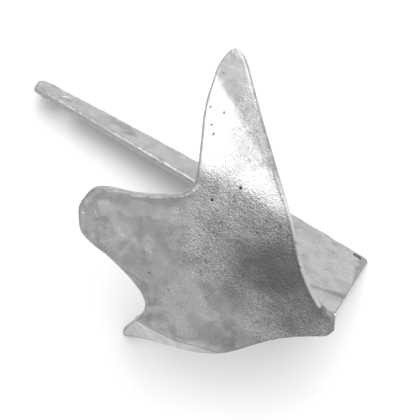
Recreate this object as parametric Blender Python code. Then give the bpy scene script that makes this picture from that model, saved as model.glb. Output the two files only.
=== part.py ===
"""Galvanised claw anchor, lying on its side as it comes to rest on a hard floor.

The anchor is drawn upright first: X runs forward along the shank, Y is across,
Z is up from the claw to the shank, all in millimetres. A parent empty then lays
it down, so that the back of the shank and the right fluke's tip touch the floor.
"""
import bpy
import bmesh
import numpy as np
from math import atan2, cos, sin, pi, radians
from mathutils import Euler, Vector

MM = 0.001
GAP = 0.3                 # clearance between touching pieces

# ---- claw: one casting with a centre fluke and two side flukes ----
SHEET_T = 7.0             # thickness of the flukes
KEEL_Z = 0.0              # middle of the sheet at the heel
KEEL_FALL = 0.067         # drop of the keel line per mm forward
KEEL_SAG = 0.000036       # extra drop with the square of the distance
DISH = 0.008              # crosswise dishing of the whole palm
TURN_CENTRE = 112.5       # where the two turn lines are furthest out
BEND_SLOPE = 1.284        # slope gained where a side fluke turns up
BEND_TWIST, TWIST_CENTRE = 0.00323, 135.0   # the turn grows gentler forward
BEND_AT, BEND_SPREAD, BEND_CURVE = 74.2, 0.083, 0.00232
BEND_SOFT_LEFT = 7.0      # rounding of the left fluke's bend
BEND_SOFT_RIGHT, BEND_SOFT_REAR = 1.6, 6.0    # the right one is crisp towards its tip
FLARE_LOSS = 0.649        # share of that slope lost again in the flared tip
FLARE_AT, FLARE_SPREAD, FLARE_CURVE, FLARE_SOFT = 37.4, 0.546, 0.00055, 2.5
TRAILING = [(-2, 0), (0.6, 5), (6.0, 9.0), (10.4, 11.8), (26.2, 23.1), (41, 37.4),
            (53.9, 53.6), (66.7, 69.9), (80.9, 85), (103.9, 105.8), (127.4, 126.2),
            (150.4, 147), (180.6, 175.2)]
LEADING = [(236, 0), (234.2, 8.3), (228, 22.1), (214.9, 28.9), (199.3, 32.6), (185, 37.8),
           (170.1, 44.7), (156.3, 53.9), (150.1, 66.3), (153.8, 81.5), (161.9, 95.6),
           (170.5, 108.1), (177.6, 121.8), (182.1, 136.7), (183.1, 152), (180.6, 175.2)]
TIP_CUT_LEFT, TIP_CUT_RIGHT = 34.0, 9.0    # how far back the pointed tips are rounded off
TRIM_RIGHT = 12.0                          # the right fluke's leading edge is straighter
TRIM_FROM, TRIM_TO = 80.0, 175.0
RIM_ROUND, RIM_SQUARE = 4.0, 3.2           # depth and squareness of the sheet's rim

# ---- crown: raised seat on the claw that carries the shank ----
SEAT_REAR_Z, SEAT_FALL = 18.0, 0.22
SEAT_END, SEAT_FADE = 82.0, 20.0
SEAT_HALF, SEAT_FLANK = 9.6, 6.0
SEAT_TAPER = 5.2

# ---- shank: a flat plate on edge ----
PLATE_T = 8.0
PLATE_ROUND = 2.6         # rounding of the plate's edges
BACK = [(80, 167.0), (215, 177.0), (340, 183.5)]
ELBOW, ELBOW_R = (-18.0, 152.5), 9.0
NOSE_TOP, NOSE_TOP_R = (434.0, 185.5), 9.0
NOSE_LOW, NOSE_LOW_R = (419.0, 153.5), 7.0
THROAT, THROAT_R = (74.0, 112.5), 46.0
LEG_FRONT, LEG_REAR = 76.0, -0.8
EYE, EYE_D = (379.0, 162.0), 15.0
TRIP, TRIP_D = (-3.5, 146.5), 9.0
BEAD = 5.0                # leg of the weld fillets
BEAD_FROM, BEAD_TO = 13.0, 72.0

# ---- how the anchor lies ----
REST_PITCH = 4.24         # degrees, sets the flat of the shank's back level
REST_ROLL = 146.32        # degrees about the shank
REST_AT = (-217.17, 20.49, 134.88)


def clear_scene():
    for obj in list(bpy.data.objects):
        bpy.data.objects.remove(obj, do_unlink=True)


def zinc(name, colour, roughness):
    mat = bpy.data.materials.new(name)
    mat.use_nodes = True
    shader = mat.node_tree.nodes["Principled BSDF"]
    shader.inputs["Base Color"].default_value = (*colour, 1.0)
    shader.inputs["Roughness"].default_value = roughness
    shader.inputs["Metallic"].default_value = 0.85
    return mat


def add_object(name, bm, material, parent):
    """Turns a bmesh drawn in millimetres into a named object under the rest pose."""
    bmesh.ops.recalc_face_normals(bm, faces=bm.faces)
    bmesh.ops.scale(bm, vec=(MM, MM, MM), verts=bm.verts)
    mesh = bpy.data.meshes.new(name)
    bm.to_mesh(mesh)
    bm.free()
    mesh.materials.append(material)
    mesh.shade_smooth()
    mesh.set_sharp_from_angle(angle=radians(40))
    obj = bpy.data.objects.new(name, mesh)
    bpy.context.collection.objects.link(obj)
    obj.parent = parent
    return obj


# ---------------------------------------------------------------- claw

def resample(points, count):
    """Evenly spaced points along a polyline."""
    run = np.cumsum(np.linalg.norm(np.diff(points, axis=0, prepend=points[:1]), axis=1))
    at = np.linspace(0.0, run[-1], count)
    return np.stack([np.interp(at, run, points[:, 0]), np.interp(at, run, points[:, 1])], axis=1)


def spline(points, count):
    """Evenly spaced points on a smooth curve through the given ones."""
    pts = [np.array(p, float) for p in points]
    pts = [2 * pts[0] - pts[1], *pts, 2 * pts[-1] - pts[-2]]
    fine = []
    for p0, p1, p2, p3 in zip(pts, pts[1:], pts[2:], pts[3:]):
        for t in np.linspace(0.0, 1.0, 24, endpoint=False):
            linear = (p2 - p0) * t
            square = (2 * p0 - 5 * p1 + 4 * p2 - p3) * t ** 2
            cube = (3 * p1 - p0 - 3 * p2 + p3) * t ** 3
            fine.append(p1 + (linear + square + cube) / 2)
    return resample(np.array(fine + [pts[-2]]), count)


def plan_edges(cut, trim, count):
    """Trailing and leading edge of one half of the claw, meeting in a rounded tip."""
    trailing, leading = spline(TRAILING, 400), spline(LEADING, 400)
    along = np.clip((leading[:, 1] - TRIM_FROM) / (TRIM_TO - TRIM_FROM), 0.0, 1.0)
    leading[:, 0] -= trim * np.sin(pi * along) ** 2
    corner = trailing[-1]
    trailing = trailing[np.linalg.norm(trailing - corner, axis=1) > cut]
    leading = leading[np.linalg.norm(leading - corner, axis=1) > cut]
    t = np.linspace(0.0, 1.0, 41)[:, None]
    tip = (1 - t) ** 2 * trailing[-1] + 2 * t * (1 - t) * corner + t ** 2 * leading[-1]
    trailing = np.concatenate([trailing[:-1], tip[:21]])
    leading = np.concatenate([leading[:-1], tip[:19:-1]])
    return resample(trailing, count), resample(leading, count)


def ramp(x, soft):
    """x where positive and 0 where negative, with the corner rounded."""
    return soft * np.logaddexp(0.0, x / soft)


def palm_z(x, y):
    """Height of the middle of the cast sheet."""
    out = abs(y)
    off = (x - TURN_CENTRE) ** 2
    right = BEND_SOFT_RIGHT + (BEND_SOFT_REAR - BEND_SOFT_RIGHT) * fall(x, 84.0, 34.0)
    soft = right if y < 0 else BEND_SOFT_LEFT
    bend = ramp(out - BEND_AT - BEND_SPREAD * x + BEND_CURVE * off, soft)
    flare = ramp(out - FLARE_AT - FLARE_SPREAD * x + FLARE_CURVE * off, FLARE_SOFT)
    keel = KEEL_Z - KEEL_FALL * x - KEEL_SAG * x * x
    slope = BEND_SLOPE * (1.0 - BEND_TWIST * (x - TWIST_CENTRE))
    return keel + slope * (bend - FLARE_LOSS * flare) + DISH * y * y / 900.0


def palm_normal(x, y):
    step = 0.05
    slope_x = (palm_z(x + step, y) - palm_z(x - step, y)) / (2 * step)
    slope_y = (palm_z(x, y + step) - palm_z(x, y - step)) / (2 * step)
    return Vector((-slope_x, -slope_y, 1.0)).normalized()


def seat_z(x):
    return SEAT_REAR_Z - SEAT_FALL * x


def fall(x, flat, width):
    """1 up to flat, then a smooth fall to 0 over width."""
    t = min(max((x - flat) / width, 0.0), 1.0)
    return 1.0 - t * t * (3.0 - 2.0 * t)


def crown_rise(x, y):
    """Extra thickness on the inner side, under the shank."""
    rise = max(seat_z(x) - palm_z(x, 0.0) - SHEET_T / 2, 0.0)
    half = SEAT_HALF - SEAT_TAPER * fall(x, 2.0, 16.0)
    return rise * fall(abs(y), half, SEAT_FLANK) * fall(x, SEAT_END, SEAT_FADE)


def rib_steps(length, rows):
    """Fractions along a rib: close together in the rounded rims, even between."""
    rim = min(RIM_ROUND, 0.3 * length) / length
    near = [rim * (1.0 - cos(pi / 2 * k / 4) ** (2 / RIM_SQUARE)) for k in range(4)]
    middle = list(np.linspace(rim, 1.0 - rim, rows))
    return near + middle + [1.0 - u for u in reversed(near)]


def rib(start, end, side, rows):
    """Outer and inner points of one strip across the sheet; side is 1 left, -1 right."""
    length = float(np.linalg.norm(end - start))
    rim = min(RIM_ROUND, 0.3 * length)
    outer, inner = [], []
    for u in rib_steps(length, rows):
        x, y = start + (end - start) * u
        y *= side
        rise = crown_rise(x, y)
        depth = min(min(u, 1.0 - u) * length / rim, 1.0)
        half = (SHEET_T + rise) / 2
        half *= max(1.0 - (1.0 - depth) ** RIM_SQUARE, 0.0) ** (1 / RIM_SQUARE)
        middle = Vector((x, y, palm_z(x, y) + rise / 2))
        outer.append(middle - palm_normal(x, y) * half)
        inner.append(middle + palm_normal(x, y) * half)
    return outer, inner


def make_claw(material, parent, half_ribs=34, rows=16):
    """Closed sheet of ribs from the right tip over the heel to the left tip."""
    bm = bmesh.new()
    rings = []
    for side, cut, trim in ((-1, TIP_CUT_RIGHT, TRIM_RIGHT), (1, TIP_CUT_LEFT, 0.0)):
        trailing, leading = plan_edges(cut, trim, half_ribs + 1)
        ribs = list(range(half_ribs - 1, 0, -1)) if side < 0 else list(range(half_ribs))
        half_rings = []
        for k in ribs:
            outer, inner = rib(trailing[k], leading[k], side, rows)
            loop = outer + inner[-2:0:-1]
            half_rings.append([bm.verts.new(p) for p in loop])
        x, y = trailing[-1]
        tip = bm.verts.new((x, side * y, palm_z(x, side * y)))
        last = half_rings[0] if side < 0 else half_rings[-1]
        for a, b in zip(last, last[1:] + last[:1]):
            bm.faces.new((tip, a, b))
        rings += half_rings
    for low, high in zip(rings, rings[1:]):
        for i in range(len(low)):
            j = (i + 1) % len(low)
            bm.faces.new((low[i], low[j], high[j], high[i]))
    return add_object("claw", bm, material, parent)


# ---------------------------------------------------------------- shank

def rounded_outline(corners, arc_step):
    """Closed outline from (x, z, radius) corners; a zero radius keeps the point."""
    outline = []
    count = len(corners)
    for i, (x, z, radius) in enumerate(corners):
        here = Vector((x, z))
        if radius == 0:
            outline.append(here)
            continue
        before = (Vector(corners[i - 1][:2]) - here).normalized()
        after = (Vector(corners[(i + 1) % count][:2]) - here).normalized()
        half = before.angle(after) / 2
        centre = here + (before + after).normalized() * (radius / sin(half))
        start = here + before * (radius / np.tan(half)) - centre
        end = here + after * (radius / np.tan(half)) - centre
        a0 = atan2(start.y, start.x)
        sweep = (atan2(end.y, end.x) - a0 + pi) % (2 * pi) - pi
        steps = max(2, round(abs(sweep) / arc_step))
        for k in range(steps + 1):
            a = a0 + sweep * k / steps
            outline.append(centre + Vector((cos(a), sin(a))) * radius)
    return outline


def inset(outline, distance):
    """The outline moved inward; the points run clockwise seen with X right, Z up."""
    moved = []
    for i, p in enumerate(outline):
        ahead = (outline[(i + 1) % len(outline)] - p).normalized()
        behind = (p - outline[i - 1]).normalized()
        along = (ahead + behind).normalized()
        normal = Vector((along.y, -along.x))
        stretch = max(along.dot(ahead), 0.5)
        moved.append(p + normal * (distance / stretch))
    return moved


def cylinder_cutter(name, centre, diameter, parent):
    bm = bmesh.new()
    bmesh.ops.create_cone(bm, cap_ends=True, segments=32, radius1=diameter / 2,
                          radius2=diameter / 2, depth=4 * PLATE_T)
    bmesh.ops.rotate(bm, verts=bm.verts, matrix=Euler((pi / 2, 0, 0)).to_matrix())
    bmesh.ops.translate(bm, verts=bm.verts, vec=(centre[0], 0, centre[1]))
    cutter = add_object(name, bm, bpy.data.materials["zinc_plate"], parent)
    cutter.hide_render = True
    cutter.display_type = "WIRE"
    return cutter


def make_shank(material, parent):
    seat = GAP + 0.05
    corners = [
        (*ELBOW, ELBOW_R),
        *[(x, z, 0) for x, z in BACK],
        (*NOSE_TOP, NOSE_TOP_R),
        (*NOSE_LOW, NOSE_LOW_R),
        (*THROAT, THROAT_R),
        (LEG_FRONT, seat_z(LEG_FRONT) + seat, 0),
        (LEG_REAR, seat_z(LEG_REAR) + seat, 0),
    ]
    outline = rounded_outline(corners, radians(12))
    bm = bmesh.new()
    flat = PLATE_T / 2 - PLATE_ROUND
    layers = []
    for k in range(-3, 4):
        turn = pi / 2 * abs(k) / 3
        y = (flat + PLATE_ROUND * sin(turn)) * (1 if k > 0 else -1) if k else 0.0
        layers.append((PLATE_ROUND * (1 - cos(turn)), y))
    loops = []
    for distance, y in layers:
        loops.append([bm.verts.new((p.x, y, p.y)) for p in inset(outline, distance)])
    for low, high in zip(loops, loops[1:]):
        for i in range(len(low)):
            j = (i + 1) % len(low)
            bm.faces.new((low[i], low[j], high[j], high[i]))
    bm.faces.new(loops[0][::-1])
    bm.faces.new(loops[-1])
    shank = add_object("shank", bm, material, parent)
    for name, centre, diameter in (("eye", EYE, EYE_D), ("trip", TRIP, TRIP_D)):
        cut = shank.modifiers.new(name, "BOOLEAN")
        cut.operation = "DIFFERENCE"
        cut.object = cylinder_cutter("cutter_" + name, centre, diameter, parent)
        cut.solver = "EXACT"
    return shank


# ---------------------------------------------------------------- welds

def make_bead(name, start, end, outward, material, parent):
    """A fillet of weld metal along the seat; start and end are (x, y) of its root."""
    bm = bmesh.new()
    ends = []
    for x, y in (start, end):
        foot = seat_z(x) + GAP
        ring = [Vector((x, y, foot))]
        for k in range(5):
            a = pi / 2 * k / 4
            out, up = BEAD * cos(a), BEAD * sin(a)
            sag = 1.0 - 0.12 * sin(2 * a)
            ring.append(Vector((x + outward[0] * out * sag, y + outward[1] * out * sag,
                                foot + up * sag)))
        ends.append([bm.verts.new(p) for p in ring])
    for i in range(len(ends[0])):
        j = (i + 1) % len(ends[0])
        bm.faces.new((ends[0][i], ends[0][j], ends[1][j], ends[1][i]))
    bm.faces.new(ends[0])
    bm.faces.new(ends[1][::-1])
    return add_object(name, bm, material, parent)


clear_scene()
cast_zinc = zinc("zinc_cast", (0.42, 0.43, 0.44), 0.50)
plate_zinc = zinc("zinc_plate", (0.50, 0.51, 0.52), 0.38)
bead_zinc = zinc("zinc_bead", (0.46, 0.47, 0.48), 0.42)

rest = bpy.data.objects.new("rest_pose", None)
bpy.context.collection.objects.link(rest)
rest.rotation_mode = "YXZ"
rest.rotation_euler = (radians(REST_ROLL), radians(REST_PITCH), 0.0)
rest.location = Vector(REST_AT) * MM

make_claw(cast_zinc, rest)
make_shank(plate_zinc, rest)
root = PLATE_T / 2 + GAP
make_bead("weld_left", (BEAD_FROM, root), (BEAD_TO, root), (0, 1), bead_zinc, rest)
make_bead("weld_right", (BEAD_FROM, -root), (BEAD_TO, -root), (0, -1), bead_zinc, rest)
make_bead("weld_front", (LEG_FRONT + GAP + 0.3, -3.5), (LEG_FRONT + GAP + 0.3, 3.5), (1, 0),
          bead_zinc, rest)
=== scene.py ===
"""Looks of a galvanised claw anchor, lying on its side on a white studio floor.

Shapes are worked out in the anchor's own upright frame (X forward along the shank,
Y to the left, Z from the claw up to the shank, millimetres) and then laid down into
the frame of the CAD model with the same rest pose.
"""

from math import atan2, cos, pi, radians, sin

import bpy
import numpy as np
from mathutils import Euler, Matrix, Vector, noise
from mathutils.geometry import delaunay_2d_cdt


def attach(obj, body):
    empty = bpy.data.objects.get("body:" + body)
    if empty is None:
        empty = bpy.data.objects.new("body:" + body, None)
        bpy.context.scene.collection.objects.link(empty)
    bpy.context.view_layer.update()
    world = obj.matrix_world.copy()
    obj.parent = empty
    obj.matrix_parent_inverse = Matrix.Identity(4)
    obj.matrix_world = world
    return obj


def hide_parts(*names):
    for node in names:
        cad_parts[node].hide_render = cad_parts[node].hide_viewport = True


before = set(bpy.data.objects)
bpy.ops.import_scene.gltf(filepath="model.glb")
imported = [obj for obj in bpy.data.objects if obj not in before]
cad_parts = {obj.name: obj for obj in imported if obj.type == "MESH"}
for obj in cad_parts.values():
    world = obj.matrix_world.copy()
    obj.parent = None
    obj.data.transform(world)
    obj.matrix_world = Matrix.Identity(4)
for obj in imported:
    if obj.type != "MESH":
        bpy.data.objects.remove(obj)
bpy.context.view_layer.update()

MM = 0.001
FLOOR_CLEARANCE = 0.05 * MM

# ---- the CAD model's driving dimensions, millimetres ----
GAP = 0.3                                   # clearance between neighbouring solids
SHEET_T = 7.0                               # thickness of the cast sheet
KEEL_Z, KEEL_FALL, KEEL_SAG = 0.0, 0.067, 0.000036
DISH = 0.008                                # how far the palm curves up sideways
TURN_CENTRE = 112.5                         # X about which the bend and flare lines curve
BEND_SLOPE = 1.284                          # the flukes' slope outside the bend
BEND_TWIST, TWIST_CENTRE = 0.00323, 135.0   # how fast that slope eases towards the front
BEND_AT, BEND_SPREAD, BEND_CURVE = 74.2, 0.083, 0.00232
BEND_SOFT_LEFT, BEND_SOFT_RIGHT, BEND_SOFT_REAR = 7.0, 1.6, 6.0
FLARE_LOSS = 0.649                          # share of that slope lost outside the flare
FLARE_AT, FLARE_SPREAD, FLARE_CURVE, FLARE_SOFT = 37.4, 0.546, 0.00055, 2.5
TRAILING = [(-2, 0), (0.6, 5), (6.0, 9.0), (10.4, 11.8), (26.2, 23.1), (41, 37.4),
            (53.9, 53.6), (66.7, 69.9), (80.9, 85), (103.9, 105.8), (127.4, 126.2),
            (150.4, 147), (180.6, 175.2)]
LEADING = [(236, 0), (234.2, 8.3), (228, 22.1), (214.9, 28.9), (199.3, 32.6), (185, 37.8),
           (170.1, 44.7), (156.3, 53.9), (150.1, 66.3), (153.8, 81.5), (161.9, 95.6),
           (170.5, 108.1), (177.6, 121.8), (182.1, 136.7), (183.1, 152), (180.6, 175.2)]
TIP_CUT_LEFT, TIP_CUT_RIGHT = 34.0, 9.0     # how much of each fluke's corner is rounded off
TRIM_RIGHT = 12.0                           # how far the right leading edge is set back
TRIM_FROM, TRIM_TO = 80.0, 175.0
RIM_ROUND, RIM_SQUARE = 4.0, 3.2            # width of the rounded rim, power of its curve
SEAT_REAR_Z, SEAT_FALL = 18.0, 0.22         # the line that the shank stands on
SEAT_END, SEAT_FADE = 82.0, 20.0
SEAT_HALF, SEAT_FLANK = 9.6, 6.0            # half width of the crown, width of its flanks
SEAT_TAPER = 5.2                            # how much narrower the crown is at the heel
PLATE_T = 8.0
PLATE_ROUND, BORE_ROUND = 2.6, 1.1          # rounding of the plate's edges and of its holes
BACK = [(80, 167.0), (215, 177.0), (340, 183.5)]
ELBOW, ELBOW_R = (-18.0, 152.5), 9.0
NOSE_TOP, NOSE_TOP_R = (434.0, 185.5), 9.0
NOSE_LOW, NOSE_LOW_R = (419.0, 153.5), 7.0
THROAT, THROAT_R = (74.0, 112.5), 46.0
LEG_FRONT, LEG_REAR = 76.0, -0.8
EYE, EYE_D = (379.0, 162.0), 15.0           # shackle eye
TRIP, TRIP_D = (-3.5, 146.5), 9.0           # hole for a trip line
BEAD = 5.0                                  # leg length of the weld beads
BEAD_FROM, BEAD_TO = 13.0, 72.0
BEAD_END_HALF = 3.5                         # half length of the bead across the front
REST_PITCH, REST_ROLL = 4.24, 146.32        # the lying pose: degrees and millimetres
REST_AT = (-217.17, 20.49, 134.88)

LAY_DOWN = np.array(Euler((radians(REST_ROLL), radians(REST_PITCH), 0.0), "YXZ").to_matrix())

# ---- surface detail, millimetres in the upright frame ----
# painted shade on the claw, a dark reflection painted into the zinc: x, y, half length, half width,
# strength
SHADE_PATCHES = [(54.0, 33.0, 84.0, 56.0, 0.92), (34.0, 6.0, 60.0, 46.0, 0.7),
        (62.0, -56.0, 60.0, 30.0, 0.35)]
SHADE_LEAN = 0.38                            # radians that those patches turn to the right
# bright runs of thick zinc on the claw: x, y, half length, half width, lean in radians
RUNS = [(178.0, 26.0, 26.0, 7.0, -0.4), (192.0, 2.0, 17.0, 7.0, 0.5),
        (166.0, -2.0, 15.0, 6.0, 1.1), (214.0, 12.0, 9.0, 5.0, 1.2),
        (172.0, 164.0, 16.0, 9.0, 0.8)]
# blow holes in the claw's outer face: x, y, radius
PITS = [(114.7, 79.1, 1.3), (130.9, 60.5, 1.0), (184.5, 133.1, 0.9), (172.7, 113.2, 0.7),
        (169.4, 117.0, 0.8), (160.5, 107.6, 0.9), (154.8, 103.0, 0.9), (157.2, 117.2, 0.8),
        (57.0, 58.0, 1.0), (157.1, -28.8, 1.0), (46.7, 41.3, 0.8), (119.1, 97.6, 0.8),
        (88.0, 52.0, 0.8), (136.0, -36.0, 0.8)]
PIT_DEPTH = 0.9
# a fold in the zinc across the shank's elbow, from front to rear: x, z
CREASE = ((33.0, 41.0), (-8.0, 56.0))
CREASE_DEPTH, GRIND_DEPTH = 0.5, 0.5
# ragged patches on the shank's left cheek: x, z, half length, half height
DARK_PATCHES = [(301.0, 168.0, 18.0, 11.0), (284.0, 156.0, 9.0, 7.0), (404.0, 178.0, 18.0, 5.0)]
FLAKY_PATCHES = [(210.0, 171.0, 24.0, 7.0), (190.0, 160.0, 10.0, 5.0), (398.0, 180.0, 26.0, 4.0)]
# paint masks at the right and the left tip, where they aren't 0
TIP_MARKS = {"far": (1.0, 0.0), "calm": (1.0, 1.0), "rim": (1.0, 1.0)}

# ---- colours, linear RGB ----
CAST_GREY, CAST_PALE, CAST_MOTTLE = (0.42, 0.42, 0.425), (0.53, 0.533, 0.54), (0.66, 0.665, 0.675)
SWIRL_PALE, SWIRL_GREY = (0.60, 0.60, 0.61), (0.43, 0.43, 0.44)
CLOUD_GREY, CLOUD_PALE = (0.50, 0.50, 0.51), (0.64, 0.645, 0.655)
# the flank and ridge colours here are painted highlights
RUN_BRIGHT, FLANK_HIGHLIGHT, RIDGE_HIGHLIGHT = (0.80, 0.80, 0.81), (0.86, 0.86, 0.87), (0.92, 0.92, 0.92)
RUST = (0.37, 0.33, 0.245)
# colour of the painted shade, a dark reflection painted into the zinc
SHADE_GREY = (0.08, 0.08, 0.082)
GRAIN_BRIGHT, PORE_DARK = (0.80, 0.80, 0.80), (0.08, 0.08, 0.08)
POCK_DARK, FLECK_DARK = (0.09, 0.09, 0.09), (0.14, 0.14, 0.135)
# rim colours: a painted highlight, painted shade, and dark worn spots that are heaviest in the painted
# shade
RIM_SHADE, RIM_HIGHLIGHT, RIM_WORN_SHADE = (0.17, 0.17, 0.17), (0.68, 0.68, 0.69), (0.10, 0.095, 0.09)
# the fold line and blow hole colours here are painted shade
LINE_DARK, FOLD_SHADE, PIT_SHADE = (0.13, 0.13, 0.13), (0.15, 0.14, 0.13), (0.02, 0.02, 0.02)
PLATE_GREY, PLATE_PALE = (0.345, 0.347, 0.350), (0.41, 0.412, 0.417)
STREAK_PALE, VEIN_DARK, CHIP_DARK = (0.52, 0.52, 0.53), (0.16, 0.16, 0.16), (0.14, 0.14, 0.14)
# the corner colour is a painted highlight and the elbow band's grey is painted shade
CORNER_HIGHLIGHT, CREASE_DIRT, BEVEL_SHADE_GREY = (0.64, 0.64, 0.64), (0.15, 0.14, 0.125), (0.19, 0.19, 0.195)
# the rear colour is a painted highlight
REAR_HIGHLIGHT, WALL_PALE = (0.62, 0.62, 0.62), (0.60, 0.60, 0.605)
# the eye colour is painted light on the bore's shaded wall
TRIP_GREY, EYE_WALL_LIT = (0.40, 0.40, 0.40), (0.80, 0.80, 0.80)
SPOT_DARK, FLAKE_PALE = (0.20, 0.20, 0.20), (0.70, 0.70, 0.70)
BEAD_GREY, BEAD_PALE = (0.42, 0.42, 0.425), (0.60, 0.60, 0.605)
PAPER_DIM, PAPER_WHITE = (0.90, 0.90, 0.90), (0.92, 0.92, 0.92)

# ---- studio, metres ----
FLOOR_REACH = 6.0
LIGHT_AT = (-0.15, -1.12, 1.90)             # the two soft boxes, one inside the other
KEY_SIZE, KEY_POWER = (1.6, 1.15), 17.0
HALO_SIZE, HALO_POWER = (3.0, 2.4), 25.0
SKY_COLOUR = (1.0, 0.995, 1.0, 1.0)
SKY_NEAR, SKY_FAR = (-0.2, 0.97), (0.9, 0.44)      # Y of the direction, sky strength there
CAMERA_AT = (53.3, 247.8, -392.2)           # millimetres and degrees in the upright frame
CAMERA_TURN = (159.223, -20.592, 158.394)
LENS, CLIP_START = 46.69, 0.02


# ------------------------------------------------------------------ helpers

def to_row(points):
    """Upright millimetres to metres in the CAD model's frame."""
    return (np.asarray(points) @ LAY_DOWN.T + np.array(REST_AT)) * MM


def wander(points, size, seed):
    """Smooth noise of about -1 to 1 whose bumps are size millimetres apart."""
    shift = Vector((17.3 * seed, -9.1 * seed, 5.7 * seed))
    return np.array([noise.noise(Vector(p) / size + shift) for p in np.asarray(points)]) * 1.6


def step_down(x, flat, width):
    """1 up to flat, then a smooth fall to 0 over width."""
    t = np.clip((x - flat) / width, 0.0, 1.0)
    return 1.0 - t * t * (3.0 - 2.0 * t)


def ramp(x, soft):
    """x where positive and 0 where negative, with the corner rounded."""
    return soft * np.logaddexp(0.0, x / soft)


def turned(dx, dy, lean):
    """How far an offset reaches along and across a direction that leans from X."""
    return cos(lean) * dx + sin(lean) * dy, cos(lean) * dy - sin(lean) * dx


def add_piece(name, points, faces, material, marks):
    """A mesh piece from upright points, its paint masks stored on the vertices."""
    mesh = bpy.data.meshes.new(name)
    placed = to_row(points)
    placed[:, 2] = np.maximum(placed[:, 2], FLOOR_CLEARANCE)
    mesh.from_pydata([tuple(p) for p in placed], [], faces)
    mesh.materials.append(material)
    for mark, values in marks.items():
        layer = mesh.attributes.new(mark, "FLOAT", "POINT")
        layer.data.foreach_set("value", np.asarray(values, np.float32))
    mesh.shade_smooth()
    mesh.update()
    obj = bpy.data.objects.new(name, mesh)
    bpy.context.scene.collection.objects.link(obj)
    return obj


# ------------------------------------------------------------------ claw

def resample(points, count):
    """Evenly spaced points along a polyline."""
    run = np.cumsum(np.linalg.norm(np.diff(points, axis=0, prepend=points[:1]), axis=1))
    at = np.linspace(0.0, run[-1], count)
    return np.stack([np.interp(at, run, points[:, 0]), np.interp(at, run, points[:, 1])], axis=1)


def spline(points, count):
    """Evenly spaced points on a smooth curve through the given ones."""
    pts = [np.array(p, float) for p in points]
    pts = [2 * pts[0] - pts[1], *pts, 2 * pts[-1] - pts[-2]]
    fine = []
    for p0, p1, p2, p3 in zip(pts, pts[1:], pts[2:], pts[3:]):
        for t in np.linspace(0.0, 1.0, 40, endpoint=False):
            linear = (p2 - p0) * t
            square = (2 * p0 - 5 * p1 + 4 * p2 - p3) * t ** 2
            cube = (3 * p1 - p0 - 3 * p2 + p3) * t ** 3
            fine.append(p1 + (linear + square + cube) / 2)
    return resample(np.array(fine + [pts[-2]]), count)


def plan_edges(cut, trim, count):
    """Trailing and leading edge of one half of the claw, meeting in a rounded tip."""
    trailing, leading = spline(TRAILING, 1200), spline(LEADING, 1200)
    along = np.clip((leading[:, 1] - TRIM_FROM) / (TRIM_TO - TRIM_FROM), 0.0, 1.0)
    leading[:, 0] -= trim * np.sin(pi * along) ** 2
    corner = trailing[-1]
    trailing = trailing[np.linalg.norm(trailing - corner, axis=1) > cut]
    leading = leading[np.linalg.norm(leading - corner, axis=1) > cut]
    t = np.linspace(0.0, 1.0, 41)[:, None]
    tip = (1 - t) ** 2 * trailing[-1] + 2 * t * (1 - t) * corner + t ** 2 * leading[-1]
    trailing = np.concatenate([trailing[:-1], tip[:21]])
    leading = np.concatenate([leading[:-1], tip[:19:-1]])
    return resample(trailing, count), resample(leading, count)


def bend_out(x, y):
    """How far a point lies outside the line where the palm bends up."""
    off = (x - TURN_CENTRE) ** 2
    return abs(y) - BEND_AT - BEND_SPREAD * x + BEND_CURVE * off


def flare_out(x, y):
    """How far a point lies outside the line where the fluke flattens again."""
    off = (x - TURN_CENTRE) ** 2
    return abs(y) - FLARE_AT - FLARE_SPREAD * x + FLARE_CURVE * off


def palm_z(x, y):
    """Height of the middle of the cast sheet."""
    right = BEND_SOFT_RIGHT + (BEND_SOFT_REAR - BEND_SOFT_RIGHT) * step_down(x, 84.0, 34.0)
    bend = ramp(bend_out(x, y), np.where(y < 0, right, BEND_SOFT_LEFT))
    flare = ramp(flare_out(x, y), FLARE_SOFT)
    keel = KEEL_Z - KEEL_FALL * x - KEEL_SAG * x * x
    slope = BEND_SLOPE * (1.0 - BEND_TWIST * (x - TWIST_CENTRE))
    return keel + slope * (bend - FLARE_LOSS * flare) + DISH * y * y / 900.0


def palm_normal(x, y):
    """Unit normal of the middle of the cast sheet, towards the shank."""
    step = 0.05
    slope_x = (palm_z(x + step, y) - palm_z(x - step, y)) / (2 * step)
    slope_y = (palm_z(x, y + step) - palm_z(x, y - step)) / (2 * step)
    n = np.stack([-slope_x, -slope_y, np.ones_like(slope_x)], axis=-1)
    return n / np.linalg.norm(n, axis=-1, keepdims=True)


def seat_z(x):
    """Height of the seat that the shank stands on."""
    return SEAT_REAR_Z - SEAT_FALL * x


def crown_rise(x, y):
    """Extra thickness on the inner side, under the shank."""
    rise = np.maximum(seat_z(x) - palm_z(x, 0.0 * y) - SHEET_T / 2, 0.0)
    half = SEAT_HALF - SEAT_TAPER * step_down(x, 2.0, 16.0)
    return rise * step_down(abs(y), half, SEAT_FLANK) * step_down(x, SEAT_END, SEAT_FADE)


def rib_steps(length, rows, rim_rows):
    """Fractions along a rib: close together in the rounded rims, even between."""
    rim = min(RIM_ROUND, 0.3 * length) / length
    turns = np.arange(rim_rows) / rim_rows * pi / 2
    near = rim * (1.0 - np.cos(turns) ** (2 / RIM_SQUARE))
    return np.concatenate([near, np.linspace(rim, 1.0 - rim, rows), 1.0 - near[::-1]])


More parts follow.
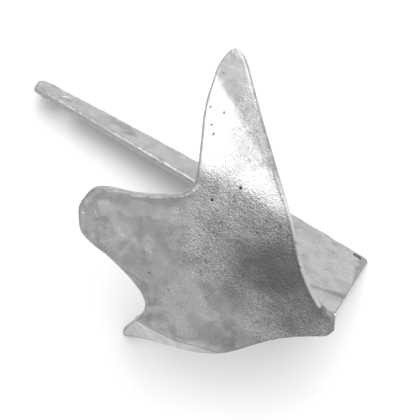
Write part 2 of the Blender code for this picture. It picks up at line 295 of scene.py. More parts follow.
def claw_ring(start, end, side, rows, rim_rows):
    """One closed strip of points round the sheet, with each point's room to the edge."""
    length = float(np.linalg.norm(end - start))
    u = rib_steps(length, rows, rim_rows)
    plan = start + (end - start) * u[:, None]
    x, y = plan[:, 0], plan[:, 1]
    rise = crown_rise(x, y)
    edge = np.minimum(u, 1.0 - u) * length
    depth = np.minimum(edge / min(RIM_ROUND, 0.3 * length), 1.0)
    half = (SHEET_T + rise) / 2
    half = half * np.maximum(1.0 - (1.0 - depth) ** RIM_SQUARE, 0.0) ** (1 / RIM_SQUARE)
    y = y * side
    middle = np.stack([x, y, palm_z(x, y) + rise / 2], axis=1)
    lift = palm_normal(x, y) * half[:, None]
    ring = np.concatenate([middle - lift, (middle + lift)[-2:0:-1]])
    return ring, np.concatenate([edge, edge[-2:0:-1]])


def make_claw(material, half_ribs=180, rows=104, rim_rows=7):
    """The casting, as closed rings from the right tip across to the left tip."""
    rings, edges, tips = [], [], []
    for side, cut, trim in ((-1, TIP_CUT_RIGHT, TRIM_RIGHT), (1, TIP_CUT_LEFT, 0.0)):
        trailing, leading = plan_edges(cut, trim, half_ribs + 1)
        ribs = range(half_ribs - 1, 0, -1) if side < 0 else range(half_ribs)
        for k in ribs:
            ring, edge = claw_ring(trailing[k], leading[k], side, rows, rim_rows)
            rings.append(ring)
            edges.append(edge)
        x, y = trailing[-1]
        tips.append((x, side * y, float(palm_z(x, side * y))))
    points, edge = np.array(rings), np.array(edges)
    ribs, ring = edge.shape

    along = np.gradient(points, axis=0)
    across = np.roll(points, -1, axis=1) - np.roll(points, 1, axis=1)
    out = np.cross(along, across)
    out /= np.maximum(np.linalg.norm(out, axis=-1, keepdims=True), 1e-9)
    points, out, edge = points.reshape(-1, 3), out.reshape(-1, 3), edge.ravel()
    rough = cast_roughness(points)
    points = points + out * cast_skin(points, out, rough, edge)[:, None]
    marks = {name: np.append(values, TIP_MARKS.get(name, (0.0, 0.0)))
             for name, values in claw_marks(points, out, edge, rough).items()}
    points = np.concatenate([points, tips])
    right_tip, left_tip = ribs * ring, ribs * ring + 1
    faces = []
    for r in range(ribs - 1):
        base, top = r * ring, (r + 1) * ring
        for i in range(ring):
            j = (i + 1) % ring
            faces.append((base + i, base + j, top + j, top + i))
    last = (ribs - 1) * ring
    for i in range(ring):
        j = (i + 1) % ring
        faces.append((right_tip, j, i))
        faces.append((left_tip, last + i, last + j))
    return add_piece("claw_casting", points, faces, material, marks)


def claw_marks(points, out, edge, rough):
    """The casting's paint masks, 0 to 1 on every point."""
    outer = (out[:, 2] < 0.0) * 1.0
    return {
        "rough": rough,
        "swirl": swirl_zone(points),
        "far": far_fluke(points),
        "calm": step_down(-bend_out(*points[:, :2].T), -6.0, 14.0),
        "fold_shade": outer * fold_shade_mark(points),
        "ridge_highlight": outer * ridge_highlight_mark(points, edge),
        "rim": step_down(edge, 1.4, 1.4),
        "line": outer * dark_line(points, edge),
        "flank_highlight": flank_highlight_mark(points),
        "painted_shade": painted_shade_zone(points),
        "light": rim_light_and_shade(points, edge),
        "pit_shade": pit_mark(points, out),
        "runs": run_mark(points),
    }


def cast_roughness(points):
    """1 where the sand-cast skin shows through, 0 where zinc has run smooth."""
    x, y = points[:, 0], points[:, 1]
    broad = wander(points * (1.0, 1.0, 0.4), 46.0, 3)
    middle = step_down(np.abs(y - 34.0) - 0.12 * x, 20.0, 25.0) * step_down(x, 122.0, 40.0)
    heel = step_down(x, 52.0, 46.0) * step_down(-y, 34.0, 24.0) * step_down(y, 50.0, 26.0)
    far = 0.35 * step_down(-y, 30.0, 30.0) * step_down(x, 130.0, 40.0)
    return np.clip(np.maximum.reduce([middle, heel, far]) * (1.0 + 0.45 * broad), 0.0, 1.0)


def painted_shade_zone(points):
    """1 in the painted shade that spreads forward from the heel, a dark reflection painted into the
    zinc, in the ragged patches listed above.
    """
    mark = np.zeros(len(points))
    ragged = 0.14 * wander(points, 22.0, 7)
    for x, y, long, wide, strength in SHADE_PATCHES:
        dx, dy = points[:, 0] - x, points[:, 1] - y
        along, across = turned(dx, dy, -SHADE_LEAN)
        away = np.hypot(along / long, across / wide)
        mark = np.maximum(mark, strength * step_down(away + ragged, 0.2, 0.85))
    return mark


def rim_light_and_shade(points, edge):
    """How the rims are painted: 1 for a painted highlight, 0 for painted shade, where dark worn spots
    are also laid.
    """
    x, y = points[:, 0], points[:, 1]
    trailing = x < np.abs(y) + 25.0
    dark = trailing * (y < 16.0)
    patch = 0.5 + 0.5 * wander(points, 17.0, 8)
    fluke = 0.34 + 0.42 * step_down(x, 72.0, 30.0) + 0.16 * patch
    return np.clip(np.where(dark, 0.25 * patch, np.where(trailing, fluke, 0.50)), 0.0, 1.0)


def swirl_zone(points):
    """1 where the zinc has run in swirls: the centre fluke and along the flare lines."""
    x, y = points[:, 0], points[:, 1]
    centre = step_down(-x, -172.0, 26.0)
    flare = step_down(np.abs(flare_out(x, y) - 4.0), 7.0, 12.0) * (y > 0)
    return np.maximum(centre, flare)


def ridge_highlight_mark(points, edge):
    """1 along the ridge beside the centre fluke's leading edge, where a lumpy painted highlight is
    laid.
    """
    x, y = points[:, 0], points[:, 1]
    leading = step_down(np.abs(y), 58.0, 14.0) * step_down(np.abs(y) + 60.0 - x, 0.0, 20.0)
    left = 0.35 + 0.65 * step_down(-y, -24.0, 10.0) * step_down(x, 212.0, 10.0)
    return leading * left * step_down(np.abs(edge - 5.0), 0.7, 1.6)


def far_fluke(points):
    """1 on the right fluke outside its bend, which is painted paler as a reflection of the bright
    floor.
    """
    x, y = points[:, 0], points[:, 1]
    return step_down(-bend_out(x, y), -2.0, 3.0) * (y < 0)


def fold_shade_mark(points):
    """1 along the far fluke's bend, where painted shade stands for the dark fold line."""
    x, y = points[:, 0], points[:, 1]
    near = step_down(np.abs(bend_out(x, y) + 1.0), 0.3, 1.6)
    return near * (y < 0) * step_down(np.abs(x - 112.0), 34.0, 12.0)


def dark_line(points, edge):
    """1 along the thin dark line inside the near fluke's trailing edge."""
    x, y = points[:, 0], points[:, 1]
    reach = step_down(x, 96.0, 16.0) * step_down(x - y, 20.0, 10.0) * step_down(-y, -12.0, 6.0)
    return reach * step_down(np.abs(edge - 3.2), 0.4, 1.0)


def flank_highlight_mark(points):
    """1 on the near fluke's flank between its bend and its flare, where a painted highlight is laid."""
    x, y = points[:, 0], points[:, 1]
    return step_down(-bend_out(x, y), 2.0, 8.0) * step_down(flare_out(x, y), 0.0, 9.0) * (y > 0)


def run_mark(points):
    """1 where thick zinc has run and set bright: ragged patches given in RUNS."""
    mark = np.zeros(len(points))
    ragged = 0.45 * wander(points, 12.0, 9)
    for x, y, long, wide, lean in RUNS:
        dx, dy = points[:, 0] - x, points[:, 1] - y
        along, across = turned(dx, dy, lean)
        away = np.hypot(along / long, across / wide)
        mark = np.maximum(mark, step_down(away + ragged, 0.75, 0.3))
    return mark


def pit_mark(points, out):
    """1 inside the blow holes of the outer face."""
    mark = np.zeros(len(points))
    for x, y, radius in PITS:
        away = np.hypot(points[:, 0] - x, points[:, 1] - y)
        mark = np.maximum(mark, step_down(away, radius * 0.5, radius) * (out[:, 2] < 0))
    return mark


def cast_skin(points, out, rough, edge):
    """Height of the casting's skin in mm: slow waves, sand grain, ridges and pits."""
    wave = 0.20 * wander(points, 55.0, 1) + 0.10 * wander(points, 19.0, 2)
    coarse = 0.5 - np.abs(wander(points, 7.5, 5))
    grain = 0.20 * wander(points, 3.6, 4) + 0.16 * coarse
    bead = 0.15 * step_down(np.abs(edge - 2.6), 0.4, 1.9) * (0.6 + wander(points, 14.0, 6))
    pits = PIT_DEPTH * pit_mark(points, out)
    room = 0.35 + 0.65 * step_down(-edge, -2.0, 2.0)
    return wave * room + grain * (0.05 + 0.95 * rough) * room + bead - pits


# ------------------------------------------------------------------ shank

def rounded_outline(corners, arc_step):
    """Closed outline from (x, z, radius) corners; a zero radius keeps the point."""
    outline = []
    count = len(corners)
    for i, (x, z, radius) in enumerate(corners):
        here = Vector((x, z))
        if radius == 0:
            outline.append(here)
            continue
        before = (Vector(corners[i - 1][:2]) - here).normalized()
        after = (Vector(corners[(i + 1) % count][:2]) - here).normalized()
        half = before.angle(after) / 2
        centre = here + (before + after).normalized() * (radius / sin(half))
        start = here + before * (radius / np.tan(half)) - centre
        end = here + after * (radius / np.tan(half)) - centre
        a0 = atan2(start.y, start.x)
        sweep = (atan2(end.y, end.x) - a0 + pi) % (2 * pi) - pi
        steps = max(2, round(abs(sweep) / arc_step))
        for k in range(steps + 1):
            a = a0 + sweep * k / steps
            outline.append(centre + Vector((cos(a), sin(a))) * radius)
    return outline


def even_loop(outline, pitch):
    """A closed loop resampled evenly."""
    pts = np.array([tuple(p) for p in outline] + [tuple(outline[0])])
    run = np.concatenate([[0.0], np.cumsum(np.linalg.norm(np.diff(pts, axis=0), axis=1))])
    at = np.linspace(0.0, run[-1], int(round(run[-1] / pitch)), endpoint=False)
    return np.stack([np.interp(at, run, pts[:, 0]), np.interp(at, run, pts[:, 1])], axis=1)


def inward_of(loop):
    """Unit vectors pointing into the plate from a clockwise outline."""
    along = np.roll(loop, -1, axis=0) - np.roll(loop, 1, axis=0)
    along /= np.linalg.norm(along, axis=1, keepdims=True)
    return np.stack([along[:, 1], -along[:, 0]], axis=1)


def circle(centre, diameter, count):
    """A closed loop of points on a circle."""
    a = np.linspace(0.0, 2 * pi, count, endpoint=False)
    return np.array(centre) + diameter / 2 * np.stack([np.cos(a), np.sin(a)], axis=1)


def inside(points, loop):
    """True for the points inside a closed loop."""
    x, z = points[:, 0], points[:, 1]
    found = np.zeros(len(points), bool)
    for (x0, z0), (x1, z1) in zip(loop, np.roll(loop, -1, axis=0)):
        if z0 != z1:
            crosses = (z0 > z) != (z1 > z)
            found ^= crosses & (x < x0 + (z - z0) * (x1 - x0) / (z1 - z0))
    return found


def distance_to(points, loop):
    """Distance from each point to the nearest point of a loop."""
    near = np.full(len(points), 1e9)
    for p in loop:
        near = np.minimum(near, np.hypot(points[:, 0] - p[0], points[:, 1] - p[1]))
    return near


def cheek_mesh(flat_loops, pitch):
    """Even triangles filling the flat of a cheek between its outline and its holes."""
    low, high = flat_loops[0].min(0), flat_loops[0].max(0)
    grid = []
    for row, z in enumerate(np.arange(low[1] + pitch, high[1], pitch)):
        shift = pitch / 2 if row % 2 else 0.0
        grid += [(x, z) for x in np.arange(low[0] + shift, high[0], pitch * 1.1)]
    grid = np.array(grid)
    keep = inside(grid, flat_loops[0])
    for loop in flat_loops[1:]:
        keep &= ~inside(grid, loop)
    for loop in flat_loops:
        keep &= distance_to(grid, loop) > 0.62 * pitch
    coords, rims = [], []
    for loop in flat_loops:
        base = len(coords)
        coords += [Vector(p) for p in loop]
        rims += [(base + i, base + (i + 1) % len(loop)) for i in range(len(loop))]
    coords += [Vector(p) for p in grid[keep]]
    flat, _, tris, _, _, _ = delaunay_2d_cdt(coords, rims, [], 1, 1e-5)
    flat = np.array([tuple(p) for p in flat])
    centres = np.array([flat[list(t)].mean(0) for t in tris])
    solid = inside(centres, flat_loops[0])
    for loop in flat_loops[1:]:
        solid &= ~inside(centres, loop)
    return flat, [tuple(t) for t, ok in zip(tris, solid) if ok]


def plate_outline(pitch):
    """The plate's outline, clockwise, with its foot just clear of the seat."""
    lift = GAP + 0.05
    corners = [
        (*ELBOW, ELBOW_R),
        *[(x, z, 0) for x, z in BACK],
        (*NOSE_TOP, NOSE_TOP_R),
        (*NOSE_LOW, NOSE_LOW_R),
        (*THROAT, THROAT_R),
        (LEG_FRONT, seat_z(LEG_FRONT) + lift, 0),
        (LEG_REAR, seat_z(LEG_REAR) + lift, 0),
    ]
    return even_loop(rounded_outline(corners, radians(3)), pitch)


def edge_profile(radius, half, rows):
    """(inset, y) steps over an edge, from the left cheek to the right one."""
    turns = np.linspace(0.0, pi / 2, rows + 1)[1:]
    corner = [(radius * (1 - sin(a)), half - radius * (1 - cos(a))) for a in turns]
    wall = [(0.0, y) for y in np.linspace(half - radius, radius - half, 5)[1:-1]]
    return corner + wall + [(inset, -y) for inset, y in reversed(corner)]


def make_plate(material, pitch=1.3, round_rows=5):
    """The shank: two flat cheeks joined by rounded edges round the outline and the holes."""
    outline = plate_outline(pitch)
    loops = [(outline, inward_of(outline), PLATE_ROUND)]
    for loop in (circle(EYE, EYE_D, 56), circle(TRIP, TRIP_D, 40)):
        away = loop - loop.mean(0)
        loops.append((loop, away / np.linalg.norm(away, axis=1, keepdims=True), BORE_ROUND))
    flat, tris = cheek_mesh([loop + normal * radius for loop, normal, radius in loops], pitch)

    half = PLATE_T / 2
    n = len(flat)
    points = [np.insert(flat, 1, half, axis=1), np.insert(flat, 1, -half, axis=1)]
    out = [np.tile((0.0, 1.0, 0.0), (n, 1)), np.tile((0.0, -1.0, 0.0), (n, 1))]
    edge = [distance_to(flat, outline)] * 2
    faces = [t[::-1] for t in tris] + [tuple(n + i for i in t) for t in tris]
    start, base = 0, 2 * n
    for loop, normal, radius in loops:
        count = len(loop)
        rows = [list(range(start, start + count))]
        for inset, y in edge_profile(radius, half, round_rows):
            ring = loop + normal * inset
            points.append(np.insert(ring, 1, y, axis=1))
            lean = 1.0 - inset / radius
            tilt = np.sign(y) * (1.0 - lean)
            v = np.insert(-normal * lean, 1, tilt, axis=1)
            out.append(v / np.linalg.norm(v, axis=1, keepdims=True))
            edge.append(distance_to(ring, outline))
            rows.append(list(range(base, base + count)))
            base += count
        rows.append(list(range(n + start, n + start + count)))
        for a, b in zip(rows, rows[1:]):
            for i in range(count):
                j = (i + 1) % count
                faces.append((a[i], a[j], b[j], b[i]))
        start += count
    points, out, edge = np.concatenate(points), np.concatenate(out), np.concatenate(edge)
    fold = crease_mark(points)
    bevel_shade = elbow_bevel_shade(points)
    points = points + out * plate_skin(points, out, edge)[:, None]
    points[:, 1] -= np.sign(points[:, 1]) * (CREASE_DEPTH * fold + GRIND_DEPTH * bevel_shade)
    marks = {
        "spots": patch_mark(points, DARK_PATCHES, 23),
        "flaky": patch_mark(points, FLAKY_PATCHES, 24),
        "corner_highlight": corner_highlight_mark(points, edge),
        "edge": step_down(edge, 0.8, 3.5),
        "elbow": step_down(points[:, 0], 50.0, 70.0),
        "fold": fold,
        "bevel_shade": bevel_shade,
        "eye_wall_lit": bore_mark(points, EYE, EYE_D),
        "hole": bore_mark(points, TRIP, TRIP_D),
        "rear": rear_highlight_mark(points),
        "wall": step_down(np.abs(points[:, 1]), PLATE_T / 2 - 1.6, 0.9) * (edge < 1.0),
    }
    return add_piece("shank_plate", points, faces, material, marks)


def crease_mark(points):
    """1 along the fold in the zinc on the left cheek, widening towards the rear edge."""
    a, b = np.array(CREASE[0]), np.array(CREASE[1])
    run = b - a
    flat = points[:, [0, 2]]
    t = np.clip((flat - a) @ run / (run @ run), 0.0, 1.0)
    away = np.linalg.norm(flat - (a + t[:, None] * run), axis=1)
    wobble = 0.8 * wander(points, 9.0, 21)
    return step_down(away + wobble, 0.3, 2.0 + 6.5 * t) * (points[:, 1] > 0) * (0.4 + 0.5 * t)


def patch_mark(points, patches, seed):
    """1 inside ragged patches of the left cheek given as x, z, half length, half height."""
    mark = np.zeros(len(points))
    ragged = 0.35 * wander(points, 7.0, seed)
    for x, z, long, high in patches:
        away = np.hypot((points[:, 0] - x) / long, (points[:, 2] - z) / high)
        mark = np.maximum(mark, step_down(away + ragged, 0.5, 0.5))
    return mark * (points[:, 1] > 0)


def corner_highlight_mark(points, edge):
    """1 along the corner between the left cheek and the inner edge, where a lumpy painted highlight is
    laid.
    """
    lower = points[:, 2] < 165.0
    front = step_down(-points[:, 0], -84.0, 20.0)
    corner = step_down(np.abs(edge - 1.6), 0.7, 1.3)
    return corner * front * lower * (points[:, 1] > 0.5) * (points[:, 0] < 425.0)


def rear_line(z):
    """Where the elbow's rear edge is at height z."""
    return ELBOW[0] + (ELBOW[1] - z) * (LEG_REAR - ELBOW[0]) / (ELBOW[1] - seat_z(LEG_REAR))


def rear_highlight_mark(points):
    """1 on the rounding of the elbow's rear edge, where a painted highlight is laid."""
    return step_down(points[:, 0] - rear_line(points[:, 2]), 2.0, 1.4)


def elbow_bevel_shade(points):
    """1 on the ground band beside the elbow's rear edge, which is set in a little and painted darker as
    shade.
    """
    x, z = points[:, 0], points[:, 2]
    rear = rear_line(z)
    width = 12.0 * np.clip((z - 62.0) / 60.0, 0.0, 1.0)
    width = width * (1.0 + 0.25 * wander(points, 8.0, 22))
    return step_down(x - rear, width * 0.6, np.maximum(width * 0.3, 0.4)) * (width > 1.0)


def bore_mark(points, centre, diameter):
    """1 on the wall of a bore through the plate."""
    away = np.hypot(points[:, 0] - centre[0], points[:, 2] - centre[1])
    return step_down(away, diameter / 2 - 0.1, 0.8)


def plate_skin(points, out, edge):
    """Height of the plate's zinc coat in mm."""
    wave = 0.15 * wander(points, 34.0, 11) + 0.07 * wander(points, 10.0, 12)
    streak = 0.06 * wander(points, 6.0, 14)
    chips = wander(points, 5.5, 13)
    nicks = 0.40 * (chips - 0.15) * step_down(edge, 1.2, 2.6)
    inner = step_down(np.abs(points[:, 0] - 392.0), 9.0, 12.0) * (out[:, 2] < -0.5)
    drip = 0.9 * inner * (0.6 + 0.4 * wander(points, 6.0, 15))
    bores = bore_mark(points, EYE, EYE_D) + bore_mark(points, TRIP, TRIP_D)
    calm = step_down(bores, 0.2, 0.6)
    return (wave + streak + nicks) * calm + drip


# ------------------------------------------------------------------ welds

def make_bead(name, start, end, outward, material):
    """A rippled fillet of weld metal along the seat."""
    start, end, outward = (np.array(v, float) for v in (start, end, outward))
    length = float(np.linalg.norm(end - start))
    steps = max(14, int(length / 0.6))
    arc = 14
    rings = []
    for s in np.linspace(0.0, 1.0, steps + 1):
        x, y = start + (end - start) * s
        foot = seat_z(x) + GAP
        ripple = 1.0 + 0.06 * abs(sin(s * length / 3.4 * pi))
        ripple += 0.08 * float(noise.noise(Vector((x * 0.13, y * 0.2, 4.0))))
        close = min(1.0, min(s, 1.0 - s) * length / 3.0)
        size = BEAD * ripple * (0.35 + 0.62 * (1.0 - (1.0 - close) ** 2) ** 0.5)
        ring = [(x, y, foot)]
        for k in range(arc + 1):
            a = pi / 2 * k / arc
            sag = 1.0 - 0.14 * sin(2 * a)
            flat = outward * size * cos(a) * sag
            ring.append((x + flat[0], y + flat[1], foot + size * sin(a) * sag))
        rings.append(ring)
    points = np.array(rings)
    rows, ring = points.shape[:2]
    faces = []
    for r in range(rows - 1):
        for i in range(ring):
            j = (i + 1) % ring
            faces.append((r * ring + i, r * ring + j, (r + 1) * ring + j, (r + 1) * ring + i))
    faces.append(tuple(range(ring))[::-1])
    faces.append(tuple(range((rows - 1) * ring, rows * ring)))
    run = end - start
    if outward[0] * run[1] - outward[1] * run[0] > 0:
        faces = [f[::-1] for f in faces]
    return add_piece(name, points.reshape(-1, 3), faces, material, {})


# ------------------------------------------------------------------ materials

class Graph:
    """A short way to write a material's nodes."""

    def __init__(self, name):
        self.mat = bpy.data.materials.new(name)
        self.mat.use_nodes = True
        self.nodes = self.mat.node_tree.nodes
        self.links = self.mat.node_tree.links
        self.shader = self.nodes["Principled BSDF"]
        self.where = self.nodes.new("ShaderNodeTexCoord").outputs["Object"]

    def put(self, socket, value):
        if isinstance(value, bpy.types.NodeSocket):
            self.links.new(value, socket)
        else:
            socket.default_value = value

    def noise(self, size_mm, detail=4.0, rough=0.55, stretch=(1.0, 1.0, 1.0), turn=(0, 0, 0),
              warp=0.0):
        """Noise with bumps of about size_mm, 0 to 1 round a mean of 0.5."""
        spot = self.nodes.new("ShaderNodeMapping")
        spot.inputs["Scale"].default_value = [s / (size_mm * MM) for s in stretch]
        spot.inputs["Rotation"].default_value = turn
        self.links.new(self.where, spot.inputs["Vector"])
        tex = self.nodes.new("ShaderNodeTexNoise")
        tex.inputs["Scale"].default_value = 1.0
        tex.inputs["Detail"].default_value = detail
        tex.inputs["Roughness"].default_value = rough
        tex.inputs["Distortion"].default_value = warp
        self.links.new(spot.outputs["Vector"], tex.inputs["Vector"])
        return tex.outputs["Fac"]

    def mark(self, name):
        """A paint mask stored on the piece's points."""
        node = self.nodes.new("ShaderNodeAttribute")
        node.attribute_name = name
        return node.outputs["Fac"]

    def math(self, kind, a, b=0.0):
        node = self.nodes.new("ShaderNodeMath")
        node.operation = kind
        self.put(node.inputs[0], a)
        self.put(node.inputs[1], b)
        return node.outputs[0]

    def band(self, value, low, high, to_low=0.0, to_high=1.0):
        """A smooth step from to_low to to_high as the value goes from low to high."""
        node = self.nodes.new("ShaderNodeMapRange")
        node.interpolation_type = "SMOOTHSTEP"
        self.put(node.inputs["Value"], value)
        node.inputs["From Min"].default_value = low
        node.inputs["From Max"].default_value = high
        node.inputs["To Min"].default_value = to_low
        node.inputs["To Max"].default_value = to_high
        return node.outputs["Result"]

    def times(self, a, b):
        return self.math("MULTIPLY", a, b)

    def plus(self, a, b):
        return self.math("ADD", a, b)

    def minus(self, a, b):
        return self.math("SUBTRACT", a, b)

    def mix(self, share, a, b):
        """Colour a where share is 0 and colour b where it is 1."""
        node = self.nodes.new("ShaderNodeMix")
        node.data_type = "RGBA"
        self.put(node.inputs["Factor"], share)
        slots = [s for s in node.inputs if s.type == "RGBA"]
        for slot, colour in zip(slots, (a, b)):
            self.put(slot, (*colour, 1.0) if isinstance(colour, tuple) else colour)
        return next(s for s in node.outputs if s.type == "RGBA")

    def coat(self, colour, mark, strength, over):
        """The colour with another laid over it where the mark is 1."""
        return self.mix(self.times(mark, strength), colour, over)

    def bump(self, height, depth_mm, under=None):
        node = self.nodes.new("ShaderNodeBump")
        node.inputs["Strength"].default_value = 1.0
        node.inputs["Distance"].default_value = depth_mm * MM
        self.put(node.inputs["Height"], height)
        if under is not None:
            self.links.new(under, node.inputs["Normal"])
        return node.outputs["Normal"]

    def finish(self, colour, roughness, normal, metallic):
        self.links.new(colour, self.shader.inputs["Base Color"])
        self.links.new(roughness, self.shader.inputs["Roughness"])
        self.links.new(normal, self.shader.inputs["Normal"])
        self.shader.inputs["Metallic"].default_value = metallic
        return self.mat


def cast_material():
    """Zinc over a sand casting: smooth runs, coarse grain and worn places, with painted shade, painted
    highlights and painted reflections.
    """
    g = Graph("zinc_cast_skin")
    rough, painted_shade, swirl = g.mark("rough"), g.mark("painted_shade"), g.mark("swirl")
    rim, light = g.mark("rim"), g.mark("light")
    patch = g.band(g.noise(22.0, 4.0, 0.6, warp=1.2), 0.49, 0.58)
    patch = g.times(patch, g.minus(1.0, g.mark("calm")))
    coarse = g.math("MAXIMUM", rough, g.times(patch, 0.55))
    grain = g.noise(1.4, 2.5, 0.55)
    pebble = g.noise(2.8, 3.0, 0.6)

    # broad tones, with painted highlights, painted shade and painted reflections laid over them
    blotch = g.band(g.noise(38.0, 5.0, 0.55, warp=1.2), 0.44, 0.56)
    mottle = g.band(g.noise(10.0, 5.0, 0.62, warp=0.6), 0.40, 0.62)
    flow = g.band(g.noise(27.0, 5.0, 0.62, warp=1.2), 0.45, 0.55)
    cloud = g.band(g.noise(17.0, 5.0, 0.6, warp=1.0), 0.40, 0.60)
    colour = g.mix(blotch, CAST_GREY, CAST_PALE)
    colour = g.coat(colour, mottle, 0.30, CAST_MOTTLE)
    colour = g.coat(colour, swirl, 0.55, g.mix(flow, SWIRL_PALE, SWIRL_GREY))
    # painted reflection of the bright floor on the right fluke outside its bend, mottled
    colour = g.coat(colour, g.mark("far"), 0.7, g.mix(cloud, CLOUD_GREY, CLOUD_PALE))
    colour = g.coat(colour, g.mark("runs"), 0.38, RUN_BRIGHT)
    # painted highlight on the near fluke's flank
    colour = g.coat(colour, g.mark("flank_highlight"), 0.34, FLANK_HIGHLIGHT)
    rust = g.times(g.band(g.noise(13.0, 4.0, 0.6), 0.54, 0.66), rough)
    colour = g.coat(colour, rust, 0.40, RUST)
    # painted shade: a dark reflection painted beside the trailing edge and at the heel
    colour = g.coat(colour, painted_shade, 0.84, SHADE_GREY)

    # grain, pores and flecks
    bright = g.times(g.band(grain, 0.54, 0.70), g.times(coarse, g.minus(1.0, painted_shade)))
    colour = g.coat(colour, bright, 0.32, GRAIN_BRIGHT)
    pores = g.times(g.band(grain, 0.47, 0.34), coarse)
    colour = g.coat(colour, pores, 0.45, PORE_DARK)
    pock = g.times(g.band(g.noise(4.2, 3.0, 0.65), 0.43, 0.34), rough)
    colour = g.coat(colour, pock, 0.4, POCK_DARK)
    flecks = g.band(g.noise(3.2, 3.0, 0.6), 0.69, 0.73)
    colour = g.coat(colour, flecks, 0.7, FLECK_DARK)

    # ridge, rim, lines and blow holes, with painted highlights on the ridge and rims and painted shade
    # on the rims, the fold and in the blow holes
    lumps = g.band(g.noise(9.0, 4.0, 0.65), 0.42, 0.54)
    # lumpy painted highlight along the centre fluke's leading edge
    colour = g.coat(colour, g.mark("ridge_highlight"), lumps, RIDGE_HIGHLIGHT)
    # rims painted with highlight and shade as the light falls on them, plus dark worn spots where they
    # are shaded
    colour = g.coat(colour, rim, 0.75, g.mix(light, RIM_SHADE, RIM_HIGHLIGHT))
    worn = g.math("POWER", g.minus(1.0, light), 2.0)
    worn = g.times(worn, g.band(g.noise(6.0, 4.0, 0.6), 0.36, 0.56))
    colour = g.coat(colour, rim, worn, RIM_WORN_SHADE)
    colour = g.coat(colour, g.mark("line"), 0.55, LINE_DARK)
    # painted shade along the far fluke's fold
    colour = g.coat(colour, g.mark("fold_shade"), 0.6, FOLD_SHADE)
    # painted shade inside the blow holes
    colour = g.mix(g.mark("pit_shade"), colour, PIT_SHADE)

    shine = g.band(g.noise(14.0, 4.0, 0.6), 0.3, 0.7, 0.30, 0.44)
    shine = g.plus(shine, g.times(coarse, 0.05))
    shine = g.plus(shine, g.times(swirl, 0.10))
    relief = g.plus(g.minus(grain, 0.5), g.times(g.minus(pebble, 0.5), 0.8))
    relief = g.times(relief, g.plus(g.times(coarse, 0.97), 0.03))
    normal = g.bump(relief, 1.7)
    ripple = g.minus(g.noise(9.0, 1.5, 0.5, warp=0.8), 0.5)
    ripple = g.times(ripple, g.plus(g.times(swirl, 0.60), 0.12))
    normal = g.bump(ripple, 0.8, under=normal)
    return g.finish(colour, shine, normal, 0.85)


def plate_material():
    """Zinc over a flame-cut steel plate: blotches, a crease, ground and chipped edges, with painted
    shade and painted highlights.
    """
    g = Graph("zinc_plate_coat")
    elbow = g.mark("elbow")

    # blotches, streaks and veins
    tilt = (0.0, 0.0, radians(-28.0))
    blotch = g.band(g.noise(26.0, 5.0, 0.55, stretch=(1.0, 1.0, 0.5), warp=1.0), 0.40, 0.60)
    streak = g.band(g.noise(13.0, 4.0, 0.6, stretch=(1.0, 1.0, 0.5), warp=1.6), 0.50, 0.60)
    vein = g.noise(24.0, 3.0, 0.55, stretch=(0.7, 1.0, 0.8), turn=tilt, warp=1.0)
    vein = g.band(g.math("ABSOLUTE", g.minus(vein, 0.5)), 0.016, 0.004)
    vein = g.times(vein, g.band(g.noise(13.0, 3.0), 0.50, 0.58))
    colour = g.mix(blotch, PLATE_GREY, PLATE_PALE)
    colour = g.coat(colour, streak, g.plus(g.times(elbow, 0.20), 0.10), STREAK_PALE)
    colour = g.coat(colour, vein, g.times(elbow, 0.7), VEIN_DARK)

    # edges, crease and bores, with painted highlights on the corner, the rear edge and the eye's bore,
    # and painted shade on the ground band
    chip = g.times(g.band(g.noise(5.0, 4.0, 0.65), 0.60, 0.66), g.mark("edge"))
    colour = g.coat(colour, chip, 0.55, CHIP_DARK)
    # lumpy painted highlight along the cheek's lower corner
    corner_highlight = g.times(g.band(g.noise(7.0, 4.0, 0.7), 0.44, 0.62), g.mark("corner_highlight"))
    colour = g.coat(colour, corner_highlight, 0.65, CORNER_HIGHLIGHT)
    smear = g.times(g.band(g.noise(9.0, 4.0, 0.6), 0.25, 0.5), g.mark("fold"))
    colour = g.coat(colour, smear, 0.85, CREASE_DIRT)
    # painted shade on the ground band beside the elbow's rear edge
    colour = g.coat(colour, g.mark("bevel_shade"), 0.6, BEVEL_SHADE_GREY)
    # painted highlight on the rounding of the elbow's rear edge
    colour = g.coat(colour, g.mark("rear"), 0.7, REAR_HIGHLIGHT)
    colour = g.mix(g.mark("hole"), colour, TRIP_GREY)
    colour = g.coat(colour, g.mark("wall"), 0.7, WALL_PALE)
    # painted light on the eye's shaded bore wall
    colour = g.coat(colour, g.mark("eye_wall_lit"), 0.85, EYE_WALL_LIT)

    # patches of the left cheek
    colour = g.coat(colour, g.mark("spots"), 0.5, SPOT_DARK)
    flakes = g.times(g.mark("flaky"), g.band(g.noise(8.0, 5.0, 0.7), 0.44, 0.60))
    colour = g.coat(colour, flakes, 0.6, FLAKE_PALE)

    shine = g.band(g.noise(11.0, 4.0, 0.6), 0.3, 0.7, 0.34, 0.50)
    normal = g.bump(g.noise(1.8, 3.0, 0.6), 0.2)
    normal = g.bump(g.noise(9.0, 4.0, 0.55, warp=1.5), 0.45, under=normal)
    return g.finish(colour, shine, normal, 0.85)


def bead_material():
    """Zinc over weld metal."""
    g = Graph("zinc_bead_coat")
    colour = g.mix(g.band(g.noise(8.0, 4.0, 0.6), 0.36, 0.66), BEAD_GREY, BEAD_PALE)
    shine = g.band(g.noise(5.0, 3.0), 0.3, 0.7, 0.32, 0.5)
    return g.finish(colour, shine, g.bump(g.noise(1.6, 3.0), 0.25), 0.8)


def paper_material():
    """Matt white backdrop paper."""
    g = Graph("paper_white")
    colour = g.mix(g.noise(60.0, 2.0), PAPER_DIM, PAPER_WHITE)
    shine = g.band(g.noise(30.0, 2.0), 0.3, 0.7, 0.75, 0.85)
    return g.finish(colour, shine, g.bump(g.noise(1.5, 2.0), 0.02), 0.0)


# ------------------------------------------------------------------ the anchor

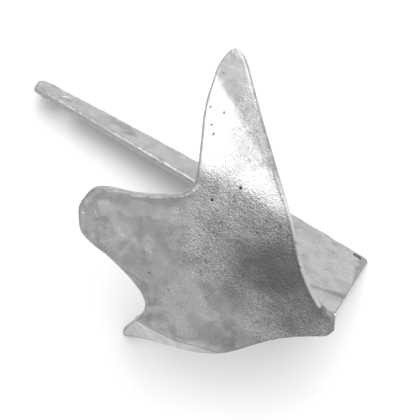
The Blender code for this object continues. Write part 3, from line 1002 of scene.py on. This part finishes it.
claw = make_claw(cast_material())
shank = make_plate(plate_material())
bead_coat = bead_material()
root = PLATE_T / 2 + GAP
front = LEG_FRONT + 2 * GAP
beads = {
    "weld_left": make_bead("bead_left", (BEAD_FROM, root), (BEAD_TO, root), (0, 1), bead_coat),
    "weld_right": make_bead("bead_right", (BEAD_FROM, -root), (BEAD_TO, -root), (0, -1),
                            bead_coat),
    "weld_front": make_bead("bead_front", (front, -BEAD_END_HALF), (front, BEAD_END_HALF), (1, 0),
                            bead_coat),
}
for piece, node, slot in ((claw, "claw", "cast_zinc"), (shank, "shank", "plate_zinc"),
                          *[(piece, node, "bead_zinc") for node, piece in beads.items()]):
    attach(piece, "root")
    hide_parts(node)

# ------------------------------------------------------------------ studio

def make_floor():
    """A big square of white paper under the anchor."""
    corners = [(x * FLOOR_REACH, y * FLOOR_REACH, 0.0) for x, y in ((-1, -1), (1, -1), (1, 1), (-1, 1))]
    mesh = bpy.data.meshes.new("studio_floor")
    mesh.from_pydata(corners, [], [(0, 1, 2, 3)])
    mesh.materials.append(paper_material())
    obj = bpy.data.objects.new("studio_floor", mesh)
    bpy.context.scene.collection.objects.link(obj)
    return obj


def soft_box(name, at, size, power):
    """A rectangular light aimed at the anchor."""
    light = bpy.data.lights.new(name, "AREA")
    light.shape = "RECTANGLE"
    light.size, light.size_y = size
    light.energy = power
    obj = bpy.data.objects.new(name, light)
    obj.location = at
    obj.rotation_euler = (-Vector(at)).to_track_quat("-Z", "Y").to_euler()
    bpy.context.scene.collection.objects.link(obj)


def make_sky():
    """A white surround, bright on the camera's side and dimmer behind the anchor."""
    world = bpy.data.worlds.new("studio")
    bpy.context.scene.world = world
    world.use_nodes = True
    nodes, links = world.node_tree.nodes, world.node_tree.links
    direction = nodes.new("ShaderNodeTexCoord")
    parts = nodes.new("ShaderNodeSeparateXYZ")
    links.new(direction.outputs["Generated"], parts.inputs["Vector"])
    shade = nodes.new("ShaderNodeMapRange")
    links.new(parts.outputs["Y"], shade.inputs["Value"])
    shade.inputs["From Min"].default_value, shade.inputs["To Min"].default_value = SKY_NEAR
    shade.inputs["From Max"].default_value, shade.inputs["To Max"].default_value = SKY_FAR
    sky = nodes["Background"]
    links.new(shade.outputs["Result"], sky.inputs["Strength"])
    sky.inputs["Color"].default_value = SKY_COLOUR


def make_camera():
    """The camera, placed in the upright frame and laid down with the anchor."""
    data = bpy.data.cameras.new("view")
    data.lens = LENS
    data.clip_start = CLIP_START
    camera = bpy.data.objects.new("view", data)
    turn = Matrix(LAY_DOWN.tolist()) @ Euler([radians(a) for a in CAMERA_TURN]).to_matrix()
    camera.location = to_row(CAMERA_AT)
    camera.rotation_euler = turn.to_euler()
    bpy.context.scene.collection.objects.link(camera)
    bpy.context.scene.camera = camera


floor = make_floor()
soft_box("key", LIGHT_AT, KEY_SIZE, KEY_POWER)
soft_box("halo", LIGHT_AT, HALO_SIZE, HALO_POWER)
make_sky()
make_camera()
bpy.context.scene.view_settings.view_transform = "Standard"
